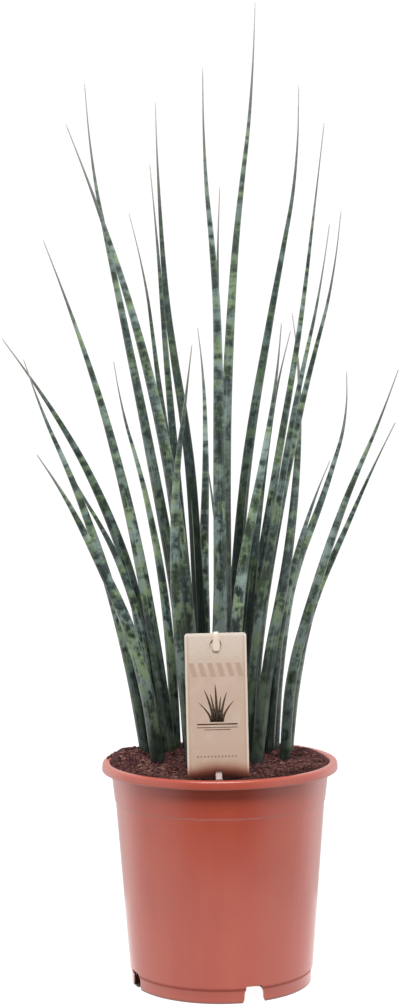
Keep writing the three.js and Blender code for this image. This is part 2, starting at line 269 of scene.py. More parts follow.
def leaf_banding(noises, share, tone):
    """How pale the skin is: cross bands that break up into speckled clumps low down."""
    cloudy = share.fall(*BAND_SHARES)
    pattern = noises["bands"] + (noises["clumps"] - noises["bands"]) * cloudy * 0.85
    speckled = (noises["mottle"] - 0.5) * (0.25 + cloudy * 0.35)
    fibrous = (noises["streaks"] - 0.5) * cloudy * 0.3
    ragged = pattern + speckled + fibrous + (noises["cloud"] - 0.5) * 0.45 + (noises["ripple"] - 0.5) * 0.03
    return ragged.step(0.4, 0.64) * (0.25 + tone * 0.75)


def leaf_green(s, noises, share, tone, depth):
    """Pale and dark grey green, bluish here and yellowish there, both lightened higher up as painted light.
    A leaf of lower tone is darker, and low down it gets painted shade.
    """
    painted_light_high_up = share.step(0, 0.5)
    dark = s.mix(noises["mottle"].step(0.3, 0.72), colour("1c2925"), colour("3f4d47"))
    # painted light: lighter higher up the leaf
    dark = s.mix(painted_light_high_up * 0.09, dark, colour("666f6b"))
    pale = s.mix(noises["cloud"].step(0.38, 0.62), colour("7f907b"), colour("9fac9c"))
    pale = s.mix(painted_light_high_up * 0.14, pale, colour("b8c4b0"))
    # painted shade on the lower part of leaves of low tone
    painted_shade_low_down = 1 - share.step(0.3, 0.62) * 0.8
    skin = s.layered(
        s.mix(leaf_banding(noises, share, tone), dark, pale),
        ((1 - tone) * painted_shade_low_down * depth, "141c1b"),
        (noises["ripple"].step(0.5, 0.7) * share.step(*BAND_SHARES) * 0.06, "9aa896"),
    )
    return s.mix(1.0, skin, s.mix(noises["hue"].step(0.41, 0.59), BLUISH, YELLOWISH), "MULTIPLY")


def leaf_skin(name, gloss, depth):
    """Waxy leaf skin with a painted sheen along its channel's margins, a dry tip, painted shade low down,
    and soil and painted contact shade at the foot.
    """
    s = Shader(name)
    share, tone, turn, above = (s.attribute(key) for key in ("share", "tone", "turn", "above"))
    noises = leaf_noises(s)
    low_down = share.fall(0, 0.5)
    # Painted sheen lies along the channel's margins.
    margin = (1 - abs(turn - SHEEN_TURN) / SHEEN_SPREAD).step(0, 1) * share.fall(0.35, 0.62)
    fibres = noises["streaks"].step(0.54, 0.72) * (0.2 + low_down * 0.2) * (0.4 + tone * 0.6)
    relief = noises["fine"] * 0.4 + noises["streaks"] * 0.3 + noises["mottle"] * 0.3
    skin = s.layered(
        leaf_green(s, noises, share, tone, depth),
        (fibres, "98aba2"),
        # painted sheen along the channel's margins
        (margin * noises["cloud"].step(0.3, 0.7) * 0.6, "b4c2ac"),
        (share.step(0.78, 0.94), "767a73"),  # drying
        (share.step(0.9, 1.0), "b9b1ab"),  # dead tip
        (low_down * 0.46 + share.fall(0.15, 0.32) * 0.3, "0f2015"),  # shade among the leaves
        (above.fall(-1 * MM, 9 * MM) * (0.55 + noises["mottle"] * 0.45), "2a1f1b"),  # soil, and painted contact shade at the foot
    )
    return s.finish(
        Base_Color=skin,
        Roughness=0.34 + noises["mottle"] * 0.2,
        Specular_IOR_Level=gloss,
        Normal=s.bump(relief, 0.3 * MM, 0.5),
    )


# ---------------------------------------------------------------- other materials


def pot_plastic():
    """Satin terracotta-coloured plastic with faint flow lines, an orange-peel skin and specks of peat dust,
    and painted shade at its foot, in its crease and seam, inside the foot ring and on its lip.
    """
    s = Shader("pot_plastic")
    place = s.place()
    height = s.axis(place, "Z")
    flow = s.noise(place.scaled(60, 60, 5), 1, 3)
    peel = s.noise(place, 1400, 2)
    blotch = s.noise(place, 18, 3)
    dust = s.noise(place, 900, 2).step(0.66, 0.72) * height.step(RIM_HEIGHT - 12 * MM, RIM_HEIGHT)
    crease = height.hump(STEP_HEIGHT, -1.6, -1, 0.4, 1)
    seam = height.hump(FOOT_RING_HEIGHT, -0.9, -0.3, 1.4, 2.2)
    lip = height.step(RIM_HEIGHT - LIP_DEPTH - 1 * MM, RIM_HEIGHT - LIP_DEPTH)
    inside = s.reach(place).fall(FOOT_RING_RADIUS - 0.7 * MM, FOOT_RING_RADIUS - 0.3 * MM)
    # Painted shade inside the foot ring on the left, dull as well as dark.
    painted_ring_shade = inside * s.axis(place, "X").fall(-50 * MM, -40 * MM)
    body = s.layered(
        s.mix(blotch.step(0.3, 0.7), colour("be4e39"), colour("c65640")),
        (flow.step(0.4, 0.7) * 0.25, "cc654c"),
        (dust * 0.5, "6b3a30"),
        (height.fall(0.4 * MM, 2.4 * MM) * 0.7, "6b4f46"),  # painted contact shade along the bottom edge
        # painted shade in the crease of the step and along the seam over the foot ring
        (crease * 0.1 + seam * 0.3, "7c3026"),
        (painted_ring_shade * height.fall(8.6 * MM, 9.6 * MM), "150a08"),  # painted shade inside the foot ring, on its left
        # painted shade and a painted pink veil of reflection: the lip duller and pinker
        (lip * 0.35, "a25a4f"),
    )
    return s.finish(
        Base_Color=body,
        Roughness=0.2 + blotch * 0.08 + lip * 0.06 + painted_ring_shade * 0.7 + seam * 0.45,
        Specular_IOR_Level=0.75,
        Normal=s.bump(peel * 0.5 + flow * 0.5, 0.08 * MM, 0.35),
    )


def peat(name, low, middle, high):
    """Damp crumbly peat, coloured by fine grain and each crumb's own tint, with painted shade along the
    front.
    """
    s = Shader(name)
    place = s.place()
    reach = s.reach(place)
    grain = s.noise(place, 900, 4, 0.65)
    clumps = s.noise(place, 160, 3)
    shade = grain * 0.45 + clumps * 0.25 + s.attribute("tint") * 0.3
    front = s.axis(place, "Y").fall(-50 * MM, -10 * MM)
    right = s.axis(place, "X").step(5 * MM, 30 * MM)
    skin = s.layered(
        s.ramp(shade, [(0.3, low), (0.5, middle), (0.7, high)]),
        # painted shade against the front wall
        (reach.step(60 * MM, 74 * MM) * front * 0.65, "33130f"),
        # painted shadow at the front right
        (reach.step(42 * MM, 60 * MM) * front * right * 0.45, "2a1512"),
    )
    normal = s.bump(grain, 0.5 * MM, 0.8)
    return s.finish(Base_Color=skin, Roughness=0.9, Specular_IOR_Level=0.2, Normal=normal)


KRAFT_MIDDLE = "cfb5a2"
# The card's colour from its foot up to its top, lighter upwards as painted light from above.
KRAFT_TONES = [(0.0, "c8ad9a"), (0.3, KRAFT_MIDDLE), (0.72, "d1b7a5"), (0.88, "dccaba"), (1.0, "e6d6c8")]


def kraft():
    """Uncoated kraft card: flecked fibres, rubbed pale edges, and painted red-brown shade along the bottom.
    """
    s = Shader("kraft_card")
    aside, up = abs(s.attribute("across")), s.attribute("up")
    place = s.place()
    fibres = s.noise(place.scaled(700, 700, 2200), 1, 4, 0.6)
    clouds = s.noise(place, 90, 3)
    painted_shade_level = up + aside * aside * 0.12 + (clouds - 0.5) * 0.02
    body = s.layered(
        s.ramp(up, KRAFT_TONES),
        (fibres.step(0.35, 0.7) * 0.25, "bc9c86"),
        (clouds.step(0.45, 0.7) * 0.25, "dfcdbd"),
        (aside.step(0.43, 0.44) * 0.3, "b89880"),
        ((aside.step(0.462, 0.476) + up.step(0.975, 0.985)) * 0.55, "f6eadc"),  # rubbed edges
        (painted_shade_level.fall(0.03, 0.14), "94553f"),  # painted shade at the card's foot, red-brown
        (painted_shade_level.fall(0.005, 0.095), "350d09"),  # painted deep shade along the bottom edge
    )
    normal = s.bump(fibres, 0.1 * MM, 0.4)
    return s.finish(Base_Color=body, Roughness=0.8, Specular_IOR_Level=0.25, Normal=normal)


def ink(name, code, cover):
    """Printing ink that lets the card's fibres through."""
    s = Shader(name)
    fibres = s.noise(s.place().scaled(900, 900, 1800), 1, 4, 0.7)
    body = s.mix(cover + (fibres - 0.5) * 0.7, colour(KRAFT_MIDDLE), colour(code))
    return s.finish(Base_Color=body, Roughness=0.8, Specular_IOR_Level=0.2)


def stake_plastic():
    """Cream plastic that turns pinkish towards the soil."""
    s = Shader("stake_plastic")
    place = s.place()
    height = s.axis(place, "Z")
    cloud = s.noise(place.scaled(200, 200, 60), 1, 2)
    body = s.mix(height.step(SOIL_LEVEL, SOIL_LEVEL + 60 * MM), colour("f3dcd6"), colour("eedccb"))
    body = s.mix(cloud.step(0.4, 0.7) * 0.25, body, colour("f8eee2"))
    return s.finish(Base_Color=body, Roughness=0.4 + cloud * 0.1, Specular_IOR_Level=0.5)


def white_with_painted_shade_under_pot(s):
    """White, with painted shade: black inside the foot ring apart from its front third, which a notch shows
    white.
    """
    place = s.place()
    behind = s.axis(place, "Y").step(-23 * MM, -19 * MM)
    inside = s.reach(place).fall(FOOT_RING_RADIUS - 2 * MM, FOOT_RING_RADIUS)
    return s.mix(inside * behind, (1, 1, 1, 1), (0, 0, 0, 1))


def glowing_white(name, glow, body_code, painted_shade_under_pot=False):
    """A white that glows, for what stands round the object."""
    s = Shader(name)
    grain = s.noise(s.place(), 40, 2)
    return s.finish(
        Base_Color=s.mix(grain, colour(body_code), colour("707070")),
        Roughness=0.9,
        Specular_IOR_Level=0,
        Emission_Color=white_with_painted_shade_under_pot(s) if painted_shade_under_pot else (1, 1, 1, 1),
        Emission_Strength=glow,
    )


# ---------------------------------------------------------------- mesh helpers


def add_object(name, mesh, material, smooth_angle=None):
    """Closes a bmesh into an object that rides on the root."""
    bmesh.ops.recalc_face_normals(mesh, faces=mesh.faces)
    data = bpy.data.meshes.new(name)
    mesh.to_mesh(data)
    mesh.free()
    data.materials.append(material)
    data.shade_smooth()
    if smooth_angle is not None:
        data.set_sharp_from_angle(angle=smooth_angle)
    piece = bpy.data.objects.new(name, data)
    bpy.context.collection.objects.link(piece)
    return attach(piece, "root")


def stand_for(node):
    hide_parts(node)


def welded(node):
    """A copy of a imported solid's mesh with its corners joined and numbered."""
    mesh = bmesh.new()
    mesh.from_mesh(nodes[node].data)
    bmesh.ops.remove_doubles(mesh, verts=mesh.verts, dist=0.02 * MM)
    mesh.verts.index_update()
    return mesh


def set_values(data, name, values):
    """Stores a number for each vertex."""
    data.attributes.new(name, "FLOAT", "POINT").data.foreach_set("value", values)


def set_vectors(data, name, vectors):
    flat = [number for vector in vectors for number in vector]
    data.attributes.new(name, "FLOAT_VECTOR", "POINT").data.foreach_set("vector", flat)


def skin_rings(mesh, rings):
    """Faces between closed rings of vertices."""
    for low, high in zip(rings, rings[1:]):
        for i in range(len(low)):
            j = (i + 1) % len(low)
            mesh.faces.new((low[i], low[j], high[j], high[i]))


# ---------------------------------------------------------------- leaves

LEAF_SIDES = 36
RINGS_PER_SPAN = 10
# The channel: radians from its middle to its margin, how much of the radius it takes, and the share of
# the leaf over which it runs out.
CHANNEL_HALF = 0.78
CHANNEL_DEPTH = 0.3
CHANNEL_REACH = 0.6
MARGIN_LIFT = 0.05
GROOVES = 9
GROOVE_DEPTH = 0.035
# Where the lifted margin lies, how wide it is, and where the grooves begin, as shares of CHANNEL_HALF.
MARGIN_PLACE, MARGIN_WIDTH, GROOVES_FROM = 1.12, 0.16, 1.4
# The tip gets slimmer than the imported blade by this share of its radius, from this share of the leaf on.
TIP_TAPER = 0.06
TIP_START = 0.9
BURIED = 20 * MM
# How far the leaf's noises are pushed on at the tip, which brings the bands closer together there.
BAND_STRETCH = 0.35
# How bright each leaf is, from the first to the last: partly each leaf's own colour, partly painted shade
# on leaves in the shade of others.
TONES = [
    0.35, 0.8, 0.95, 0.85, 0.65, 0.7, 0.5, 0.95, 0.1, 0.35, 0.0, 0.65, 1.0, 0.4,
    0.65, 0.3, 0.5, 1.0, 0.15, 0.55, 0.2, 0.8, 0.6, 0.5, 0.9, 0.75, 1.0, 0.75,
]
# Leaves no brighter than this stand inside the clump, and get a shaded copy of the skin: dull, and dark
# with deeper painted shade.
INNER_TONE = 0.45


def rings_of(node):
    """The rings of a lofted solid from its buried end to its tip, each as a list of points."""
    mesh = welded(node)
    ends = sorted(mesh.verts, key=lambda vert: len(vert.link_edges))[-2:]
    layer = {min(ends, key=lambda vert: vert.co.z)}
    seen = set(layer)
    rings = []
    while layer:
        rings.append([vert.co.copy() for vert in sorted(layer, key=lambda vert: vert.index)])
        layer = {edge.other_vert(vert) for vert in layer for edge in vert.link_edges} - seen
        seen |= layer
    mesh.free()
    return rings[1:-1]


def middle_of(ring):
    return sum(ring, Vector()) / len(ring)


def radius_of(ring):
    """How far the corner of middling distance is from the ring's middle, which leaves out the channel."""
    middle = middle_of(ring)
    return sorted((point - middle).length for point in ring)[len(ring) // 2]


def spline(values, at):
    """A smooth curve through equally spaced values."""
    i = min(int(at), len(values) - 2)
    t = at - i
    before = values[i - 1] if i > 0 else 2 * values[0] - values[1]
    after = values[i + 2] if i + 2 < len(values) else 2 * values[-1] - values[-2]
    a, b = values[i], values[i + 1]
    slope, bend = b - before, 2 * before - 5 * a + 4 * b - after
    twist = 3 * (a - b) + after - before
    return a + 0.5 * t * (slope + t * (bend + t * twist))


def leaf_profile(angle, share):
    """The leaf's radius, as a share of its full radius, at an angle from the channel."""
    fade = max(0.0, 1 - share / CHANNEL_REACH)
    inside = abs(angle) / CHANNEL_HALF
    channel = 0.5 + 0.5 * math.cos(math.pi * inside) if inside < 1 else 0.0
    margin = math.exp(-(((inside - MARGIN_PLACE) / MARGIN_WIDTH) ** 2))
    groove = max(0.0, math.cos(GROOVES * angle)) ** 6 if inside > GROOVES_FROM else 0.0
    taper = max(0.0, share - TIP_START) / (1 - TIP_START)
    channelled = 1 - CHANNEL_DEPTH * fade * channel + MARGIN_LIFT * fade * margin
    return channelled - GROOVE_DEPTH * groove - TIP_TAPER * taper


def channel_side(ring, centres):
    """The level direction that the channel faces, from the lowest ring's nearest corner."""
    foot = min(ring, key=lambda point: (point - centres[0]).length) - centres[0]
    upright = (centres[1] - centres[0]).rotation_difference(Vector((0, 0, 1)))
    facing = upright @ foot
    facing.z = 0
    return facing.normalized()


def build_leaf(node, tone, material):
    """A smooth leaf over a packed blade. Each corner keeps what the skin needs to know of its place."""
    rings = rings_of(node)
    centres = [middle_of(ring) for ring in rings]
    radii = [radius_of(ring) for ring in rings]
    facing = channel_side(rings[0], centres)
    up = Vector((0, 0, 1))

    spans = len(centres) - 1
    length = sum((b - a).length for a, b in zip(centres, centres[1:]))
    offset = random.Random(node).uniform(0, 3)
    mesh = bmesh.new()
    lines, straight, shares, turns, above = [], [], [], [], []
    for step in range(spans * RINGS_PER_SPAN + 1):
        at = step / RINGS_PER_SPAN
        centre = spline(centres, at)
        radius = max(spline(radii, at), radii[-1])
        ahead = spline(centres, min(at + 0.01, spans)) - spline(centres, max(at - 0.01, 0))
        lean = up.rotation_difference(ahead)
        along = at / spans * length
        share = max(0.0, (along - BURIED) / (length - BURIED))
        stretched = along * (1 + BAND_STRETCH * share)
        line = []
        for i in range(LEAF_SIDES):
            angle = math.tau * (i / LEAF_SIDES - 0.5)
            reach = radius * leaf_profile(angle, share)
            out = lean @ (Quaternion(up, angle) @ facing)
            line.append(mesh.verts.new(centre + out * reach))
            straight.append((math.cos(angle) * radius + offset, math.sin(angle) * radius, stretched))
            shares.append(share)
            turns.append(math.cos(angle))
            above.append(line[-1].co.z - SOIL_LEVEL)
        lines.append(line)
    skin_rings(mesh, lines)
    mesh.faces.new(reversed(lines[0]))
    mesh.faces.new(lines[-1])
    leaf = add_object(f"{node}_skin", mesh, material)
    set_vectors(leaf.data, "straight", straight)
    set_values(leaf.data, "share", shares)
    set_values(leaf.data, "turn", turns)
    set_values(leaf.data, "above", above)
    set_values(leaf.data, "tone", [tone] * len(shares))
    stand_for(node)


def grow_leaves():
    # The inner leaves get a shaded copy of the skin: weaker gloss, and deeper painted shade from the last
    # number.
    open_skin = leaf_skin("leaf_skin", 0.6, 0.7)
    shaded_inner_skin = leaf_skin("shaded_inner_leaf_skin", 0.3, 0.9)
    for leaf, tone in zip(LEAVES, TONES):
        build_leaf(leaf, tone, open_skin if tone > INNER_TONE else shaded_inner_skin)


# ---------------------------------------------------------------- pot

POT_SIDES = 192
LIP_EDGE_START = LIP_TILT + 0.15  # where the top edge's curve begins, clear of the swell's last point


def arc(radius, height, size, start, end, steps):
    """Points of a round edge about (radius, height)."""
    angles = [start + (end - start) * i / steps for i in range(steps + 1)]
    return [(radius + size * math.cos(a), height + size * math.sin(a)) for a in angles]


def pot_outline():
    """The pot's wall in section, as (radius, height), from the disc under it out, up and in again."""
    band_foot = RIM_HEIGHT - LIP_DEPTH
    under_lip = RIM_HEIGHT - WALL - 0.2 * MM
    lip_shoulder = RIM_RADIUS - LIP_SWELL * (1 - math.cos(LIP_TILT)) - LIP_ROUND * math.cos(LIP_TILT)
    step = STEP_HEIGHT
    return [
        (0, 0),
        (DISC_RADIUS - 0.3 * MM, 0),
        (DISC_RADIUS + 0.1 * MM, 0.4 * MM),
        (DISC_RADIUS + 2.6 * MM, FOOT_RING_HEIGHT),
        (FOOT_RING_RADIUS - WALL - 0.2 * MM, FOOT_RING_HEIGHT),
        (FOOT_RING_RADIUS - WALL, 0.2 * MM),
        (FOOT_RING_RADIUS - WALL + 0.2 * MM, 0),
        (FOOT_RING_RADIUS - 0.5 * MM, 0),
        (FOOT_RING_RADIUS - 0.2 * MM, 0.3 * MM),
        (FOOT_RING_RADIUS, FOOT_RING_HEIGHT - 0.7 * MM),
        (FOOT_RING_RADIUS + 0.3 * MM, FOOT_RING_HEIGHT - 0.1 * MM),
        (65.75 * MM, FOOT_RING_HEIGHT + 0.8 * MM),
        (66.1 * MM, FOOT_RING_HEIGHT + 1.9 * MM),
        (64.8 * MM + WALL, FLOOR_HEIGHT + 1.6 * MM),
        (73.88 * MM + WALL, step - 1.3 * MM),
        (74.02 * MM + WALL, step - 0.8 * MM),
        (74.42 * MM + WALL, step + 0.1 * MM),
        (74.58 * MM + WALL, step + 0.8 * MM),
        (76.9 * MM + WALL, RIM_HEIGHT - 7.4 * MM),
        (80 * MM, under_lip),
        (RIM_RADIUS - WALL - 0.4 * MM, under_lip),
        (RIM_RADIUS - WALL, under_lip - 0.4 * MM),
        (RIM_RADIUS - WALL - 0.1 * MM, band_foot + 0.3 * MM),
        *arc(RIM_RADIUS - LIP_FOOT_ROUND, band_foot + LIP_FOOT_ROUND, LIP_FOOT_ROUND, -2.2, 0, 5),
        *arc(RIM_RADIUS - LIP_SWELL, band_foot + LIP_FOOT_ROUND, LIP_SWELL, 0.05, LIP_TILT, 5),
        *arc(lip_shoulder, RIM_HEIGHT - LIP_ROUND, LIP_ROUND, LIP_EDGE_START, math.pi / 2, 6),
        *arc(80.4 * MM, RIM_HEIGHT - 1.2 * MM, 1.2 * MM, math.pi / 2, math.pi * 0.85, 4),
        WALL_TOP,
        WALL_BEND,
        (74.5 * MM, step + 0.6 * MM),
        (73.9 * MM, step - 0.6 * MM),
        (64.8 * MM, FLOOR_HEIGHT + 2 * MM),
        (63.4 * MM, FLOOR_HEIGHT),
        (DISC_RADIUS + 4 * MM, FLOOR_HEIGHT),
        (DISC_RADIUS + 1.2 * MM, DISC_THICKNESS),
        (0, DISC_THICKNESS),
    ]


def lathe(outline, sides):
    """Turns an outline that starts and ends on the axis."""
    mesh = bmesh.new()
    rings = []
    for radius, height in outline[1:-1]:
        angles = [math.tau * i / sides for i in range(sides)]
        rings.append([mesh.verts.new((radius * math.cos(a), radius * math.sin(a), height)) for a in angles])
    skin_rings(mesh, rings)
    for ring, (_, height) in ((rings[0], outline[0]), (rings[-1], outline[-1])):
        middle = mesh.verts.new((0, 0, height))
        for i in range(sides):
            mesh.faces.new((middle, ring[i], ring[(i + 1) % sides]))
    return mesh


def prism(outline, depth):
    """A flat outline of (x, z) points drawn out along Y, centred on it."""
    mesh = bmesh.new()
    front = [mesh.verts.new((x, -depth / 2, z)) for x, z in outline]
    back = [mesh.verts.new((x, depth / 2, z)) for x, z in outline]
    mesh.faces.new(front)
    mesh.faces.new(reversed(back))
    skin_rings(mesh, [front, back])
    return mesh


def notch_outline():
    """Half as wide again at the surface as at its rounded top."""
    top, base = NOTCH_TOP / 2, NOTCH_BASE / 2
    high = FOOT_RING_HEIGHT - 0.2 * MM
    right = [
        (base, -1 * MM),
        (top + 1.5 * MM, 0.8 * MM),
        (top + 0.8 * MM, 2.6 * MM),
        (top + 0.5 * MM, high - 2 * MM),
        (top + 0.1 * MM, high - 0.6 * MM),
        (top - 0.7 * MM, high),
    ]
    return right + [(-x, z) for x, z in reversed(right)]


def drain_outline():
    half = DRAIN_WIDTH / 2
    low = FOOT_RING_HEIGHT - 0.6 * MM
    return [(-half, low), (half, low), (half, low + DRAIN_HEIGHT), (-half, low + DRAIN_HEIGHT)]


def cut_out(piece, outline, depth, out):
    """Cuts the same opening out of a piece at each notch's angle."""
    joined = bmesh.new()
    for angle in NOTCH_ANGLES:
        cutter = prism(outline, depth)
        cutter.transform(Matrix.Rotation(angle, 4, "Z") @ Matrix.Translation((0, -out, 0)))
        bmesh.ops.recalc_face_normals(cutter, faces=cutter.faces)
        data = bpy.data.meshes.new("cutter")
        cutter.to_mesh(data)
        cutter.free()
        joined.from_mesh(data)
        bpy.data.meshes.remove(data)
    data = bpy.data.meshes.new("cutters")
    joined.to_mesh(data)
    joined.free()
    tool = bpy.data.objects.new("cutters", data)
    bpy.context.collection.objects.link(tool)
    cut = piece.modifiers.new("cut", "BOOLEAN")
    cut.operation, cut.solver, cut.object = "DIFFERENCE", "EXACT", tool
    graph = bpy.context.evaluated_depsgraph_get()
    result = bpy.data.meshes.new_from_object(piece.evaluated_get(graph))
    piece.modifiers.clear()
    piece.data = result
    bpy.data.objects.remove(tool)
    bpy.data.meshes.remove(data)


def build_pot(material):
    pot = add_object("pot_body", lathe(pot_outline(), POT_SIDES), material)
    cut_out(pot, notch_outline(), NOTCH_REACH, FOOT_RING_RADIUS - 1 * MM)
    cut_out(pot, drain_outline(), DRAIN_REACH, FOOT_RING_RADIUS + 2.2 * MM - DRAIN_REACH / 2)
    pot.data.shade_smooth()
    pot.data.set_sharp_from_angle(angle=math.radians(35))
    stand_for("pot")


# ---------------------------------------------------------------- soil

SOIL_SIDES = 360
SOIL_RINGS = 72
SOIL_RADIUS = 77.4 * MM
WALL_CLEARANCE = 0.5 * MM
HOLE_LIP = 3.2 * MM  # what lies further than this under the soil's level is in a hole
FULL_CIRCLE = 30  # corners at one radius and height that make up a circle of the packed soil's side
# The relief in millimetres: the height of its lumps, its grit, and the soil drawn up round each leaf.
LUMPS, GRIT, DRAWN_UP = 0.9, 0.45, 0.5
# Peat heaped against the wall at the left: its middle, how far it spreads, and its height in millimetres.
HEAP_X, HEAP_Y = -68 * MM, 32 * MM
HEAP_WIDE, HEAP_DEEP = 15 * MM, 18 * MM
HEAP_HEIGHT = 4.2
CRUMBS = 3000
COLLAR_CRUMBS = 24  # round each leaf
SPILLED_CRUMBS = 70
BARK_BITS = 130
FIBRES = 280
FIBRE_JOINTS = 7
FREE_OF_STEMS = 0.6 * MM


class Ground:
    """The height of the packed soil, and the finer relief that goes on it."""

    def __init__(self):
        mesh = welded("soil")
        self.tree = BVHTree.FromBMesh(mesh)
        corners = Counter((round(vert.co.xy.length, 5), round(vert.co.z, 5)) for vert in mesh.verts)
        mesh.free()
        turned = [corner for corner, count in corners.items() if count >= FULL_CIRCLE]
        self.side = sorted(turned, key=lambda corner: (corner[1], corner[0]))
        self.stems = []
        for name in LEAVES:
            rings = rings_of(name)
            low, high = middle_of(rings[0]), middle_of(rings[1])
            t = (SOIL_LEVEL - low.z) / (high.z - low.z)
            self.stems.append((low.lerp(high, t), radius_of(rings[0])))

    def packed(self, x, y):
        """The packed soil's height at a place. Over a hole it's that of the nearest edge."""
        hit = self.tree.ray_cast(Vector((x, y, SOIL_LEVEL + 20 * MM)), Vector((0, 0, -1)))[0]
        if hit is None or hit.z < SOIL_LEVEL - HOLE_LIP:
            hit = self.tree.find_nearest(Vector((x, y, SOIL_LEVEL + 6 * MM)))[0]
        return hit.z

    def height(self, x, y):
        """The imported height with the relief, which is lower along the wall, and the heap."""
        reach = math.hypot(x, y)
        place = Vector((x, y, 0)) / MM
        lumps = noise.fractal(place * 0.16, 0.9, 2.1, 4)
        grit = noise.noise(place * 0.85 + Vector((0, 0, 7)))
        heap = math.exp(-(((x - HEAP_X) / HEAP_WIDE) ** 2 + ((y - HEAP_Y) / HEAP_DEEP) ** 2))
        raised = LUMPS * lumps + GRIT * grit
        for stem, radius in self.stems:
            away = math.hypot(x - stem.x, y - stem.y) - radius
            if away < 12 * MM:
                raised += DRAWN_UP * math.exp(-max(away, 0) / (3 * MM))
        edge = min(1.0, max(0.0, (SOIL_RADIUS - reach) / (3 * MM)))
        relief = raised * (0.4 + 0.6 * edge) - 0.2 * (1 - edge) + HEAP_HEIGHT * heap
        return self.packed(x, y) + relief * MM


def wall_reach(height):
    """How far out the soil comes where it meets the pot's wall at a height."""
    (low_radius, low), (high_radius, high) = WALL_BEND, WALL_TOP
    return low_radius + (high_radius - low_radius) * (height - low) / (high - low) - WALL_CLEARANCE


def build_soil(ground, material):
    """A closed body whose top carries the relief."""
    mesh = bmesh.new()
    angles = [math.tau * i / SOIL_SIDES for i in range(SOIL_SIDES)]
    profile = [(radius, height) for radius, height in ground.side if radius > 1 * MM]
    rings = []
    for radius, height in profile:
        rings.append([mesh.verts.new((radius * math.cos(a), radius * math.sin(a), height)) for a in angles])
    rims = [ground.height(SOIL_RADIUS * math.cos(a), SOIL_RADIUS * math.sin(a)) for a in angles]
    for step in range(SOIL_RINGS):
        ring = []
        for angle, rim in zip(angles, rims):
            radius = wall_reach(rim) * (1 - step / SOIL_RINGS)
            x, y = radius * math.cos(angle), radius * math.sin(angle)
            ring.append(mesh.verts.new((x, y, ground.height(x, y) if step else rim)))
        rings.append(ring)
    skin_rings(mesh, rings)
    mesh.faces.new(reversed(rings[0]))
    middle = mesh.verts.new((0, 0, ground.height(0, 0)))
    for i in range(SOIL_SIDES):
        mesh.faces.new((middle, rings[-1][i], rings[-1][(i + 1) % SOIL_SIDES]))
    soil = add_object("soil_bed", mesh, material)
    set_values(soil.data, "tint", [0.5] * len(soil.data.vertices))
    stand_for("soil")


def clear_of_stems(ground, x, y, room):
    return all(math.hypot(x - stem.x, y - stem.y) > radius + room for stem, radius in ground.stems)


def spots(ground, draw, count, room, edge=2 * MM):
    """Random places on the soil that no leaf stands on."""
    found = []
    while len(found) < count:
        reach = (SOIL_RADIUS - edge) * math.sqrt(draw.random())
        angle = draw.uniform(0, math.tau)
        x, y = reach * math.cos(angle), reach * math.sin(angle)
        if clear_of_stems(ground, x, y, room):
            found.append(Vector((x, y, ground.height(x, y))))
    return found


def spots_by_stems(ground, draw, count):
    """Places close round the foot of every leaf."""
    found = []
    for stem, radius in ground.stems:
        for _ in range(count):
            reach, angle = radius + draw.uniform(0.1, 1.8) * MM, draw.uniform(0, math.tau)
            x, y = stem.x + reach * math.cos(angle), stem.y + reach * math.sin(angle)
            found.append(Vector((x, y, ground.height(x, y))))
    return found


def spots_on_rim(draw, count):
    """Places on the left of the rim's flat top, where peat has spilled over."""
    found = []
    for _ in range(count):
        reach, angle = draw.uniform(79.5, 83) * MM, draw.triangular(2.45, 3.1, 2.8)
        found.append(Vector((reach * math.cos(angle), reach * math.sin(angle), RIM_HEIGHT)))
    return found


def plain_lump():
    """The corners and faces of a rough ball one unit in radius."""
    mesh = bmesh.new()
    bmesh.ops.create_icosphere(mesh, subdivisions=1, radius=1)
    corners = [vert.co.copy() for vert in mesh.verts]
    faces = [[vert.index for vert in face.verts] for face in mesh.faces]
    mesh.free()
    return corners, faces


def scatter_crumbs(name, places, draw, sizes, flatness, material):
    """Rough little lumps that lie on the soil."""
    corners, faces = plain_lump()
    mesh = bmesh.new()
    tints = []
    for spot in places:
        size = draw.triangular(*sizes) * MM
        spin, tip = draw.uniform(0, math.tau), draw.uniform(-0.5, 0.5)
        wide, deep, tall = draw.uniform(0.7, 1.3), draw.uniform(0.6, 1.0), draw.uniform(0.7, 1.2)
        tint = draw.random()
        turn = Matrix.Rotation(spin, 4, "Z") @ Matrix.Rotation(tip, 4, "X")
        stretch = Matrix.Diagonal((wide, deep, flatness * tall, 1))
        shape = Matrix.Translation(spot + Vector((0, 0, size * 0.25))) @ turn @ stretch
        made = [mesh.verts.new(shape @ (corner * size * draw.uniform(0.75, 1.2))) for corner in corners]
        for face in faces:
            mesh.faces.new([made[i] for i in face])
        tints += [tint] * len(made)
    crumbs = add_object(name, mesh, material)
    crumbs.data.shade_flat()
    set_values(crumbs.data, "tint", tints)


